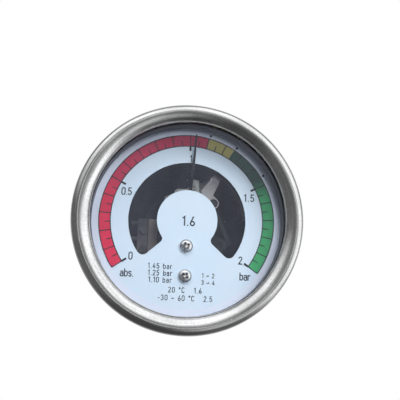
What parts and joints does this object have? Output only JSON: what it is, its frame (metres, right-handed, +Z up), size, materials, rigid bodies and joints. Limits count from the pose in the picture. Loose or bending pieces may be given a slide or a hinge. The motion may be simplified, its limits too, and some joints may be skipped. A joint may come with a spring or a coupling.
{
  "type": "gas density monitor",
  "caption": "Round temperature-compensated pressure dial with coloured gas-density zones, C-shaped window on the movement, electric contacts, rear threaded connection and rear cable box.",
  "frame": {"origin": "on the dial axis, where the rear pipe thread begins behind the spanner flats", "axes": "+Y along the dial axis towards the connection's free end, away from the glass; +X to the right seen from the front, towards the cable gland; +Z up"},
  "size_m": [0.107, 0.1039, 0.107],
  "materials": {
    "steel_polished": "polished",
    "steel_case": "drawn and brushed",
    "steel_screw": "machined",
    "steel_sheet": "matt sheet",
    "steel_tube": "drawn tube",
    "steel_socket": "turned and milled",
    "rubber": "matt",
    "glass": "laminated safety glass",
    "dark_plastic": "satin moulding",
    "box_plastic": "fine spark texture",
    "switch_plastic": "moulded",
    "strip_plastic": "moulded",
    "dial_white": "matt lacquer",
    "red_ink": "printed",
    "yellow_ink": "printed",
    "green_ink": "printed",
    "black_ink": "printed",
    "black_paint": "satin black",
    "brass": "machined",
    "bronze": "rolled strip",
    "button_red": "moulded"
  },
  "bodies": {
    "case": {"case_cup": "steel_case", "bezel_ring": "steel_polished", "front_seal": "rubber", "window_glass": "glass", "spacer_ring": "dark_plastic", "filling_plug": "steel_screw", "filling_plug_seal": "rubber", "socket": "steel_socket", "socket_seal": "rubber", "socket_screws": "steel_screw", "dial": "dial_white", "dial_posts": "steel_screw", "dial_screws": "steel_screw", "print_red_field": "red_ink", "print_yellow_field": "yellow_ink", "print_green_field": "green_ink", "print_scale_marks": "black_ink", "movement_front_plate": "steel_sheet", "movement_back_plate": "steel_sheet", "movement_pillars": "brass", "movement_plate_screws": "steel_screw", "movement_mount_screws": "steel_screw", "hairspring": "bronze", "hairspring_stud": "brass", "switch_front": "switch_plastic", "switch_rear": "switch_plastic", "switch_bracket": "steel_sheet", "switch_screws": "steel_screw", "bracket_screws": "steel_screw", "feedthrough": "dark_plastic", "feedthrough_pins": "brass", "cable_box": "box_plastic", "box_screws": "steel_screw", "box_seal": "rubber", "box_cover": "box_plastic", "box_cover_screws": "steel_screw", "terminal_strip": "strip_plastic", "gland_body": "box_plastic", "gland_nut": "box_plastic", "gland_seal": "rubber"},
    "sector": {"sector_gear": "brass", "sector_staff": "steel_screw", "tail_pin": "steel_screw"},
    "pointer_set": {"pointer": "black_paint", "pointer_hub": "brass", "pinion_arbor": "brass", "hairspring_collet": "brass"},
    "tube": {"bourdon_tube": "steel_tube", "tube_tip": "steel_socket", "bimetal_strip": "steel_sheet", "bimetal_rivets": "steel_screw", "compensator_arm": "steel_sheet", "switch_arm": "steel_sheet", "adjusting_screws": "brass"},
    "link": {"link": "steel_sheet", "link_shoulder_pin": "steel_screw"},
    "lever_front": {"switch_lever_front": "steel_screw"},
    "lever_rear": {"switch_lever_rear": "steel_screw"},
    "button_front": {"switch_button_front": "button_red"},
    "button_rear": {"switch_button_rear": "button_red"}
  },
  "joints": [
    {"name": "sector_swing", "type": "hinge", "parent": "case", "child": "sector", "pos_m": [0.01647, -0.055, -0.01099], "axis": [0, 1, 0], "range_deg": [-14.97, 15.89]},
    {"name": "pointer_turn", "type": "hinge", "parent": "case", "child": "pointer_set", "pos_m": [0, -0.057, 0], "axis": [0, 1, 0], "range_deg": [-129.75, 122.25]},
    {"name": "tube_flex", "type": "hinge", "parent": "case", "child": "tube", "pos_m": [-0.01424, -0.0395, -0.03197], "axis": [0, 1, 0], "range_deg": [-1.95, 2.07], "stiffness_Nm_per_rad": 0.3, "springref_deg": -0.76},
    {"name": "link_pivot", "type": "hinge", "parent": "sector", "child": "link", "pos_m": [0.02152, -0.0565, -0.00881], "axis": [0, 1, 0], "range_deg": [-13.09, 12.33]},
    {"name": "lever_front_hinge", "type": "hinge", "parent": "case", "child": "lever_front", "pos_m": [-0.0132, -0.0432, -0.017], "axis": [0, 1, 0], "range_deg": [-3.89, 4.13]},
    {"name": "button_front_slide", "type": "slide", "parent": "case", "child": "button_front", "axis": [1, 0, 0], "range_m": [-0.0003411, 0.0003619]},
    {"name": "lever_rear_hinge", "type": "hinge", "parent": "case", "child": "lever_rear", "pos_m": [-0.0132, -0.0365, -0.017], "axis": [0, 1, 0], "range_deg": [-3.89, 4.13]},
    {"name": "button_rear_slide", "type": "slide", "parent": "case", "child": "button_rear", "axis": [1, 0, 0], "range_m": [-0.0003411, 0.0003619]}
  ],
  "couplings": [
    {"joint": "pointer_turn", "follows": "sector_swing", "ratio": -8.1667},
    {"joint": "tube_flex", "follows": "sector_swing", "ratio": 0.12992},
    {"joint": "link_pivot", "follows": "sector_swing", "ratio": -0.82352},
    {"joint": "lever_front_hinge", "follows": "sector_swing", "ratio": 0.25961},
    {"joint": "button_front_slide", "follows": "sector_swing", "m_per_rad": 0.0012981},
    {"joint": "lever_rear_hinge", "follows": "sector_swing", "ratio": 0.25961},
    {"joint": "button_rear_slide", "follows": "sector_swing", "m_per_rad": 0.0012981}
  ]
}
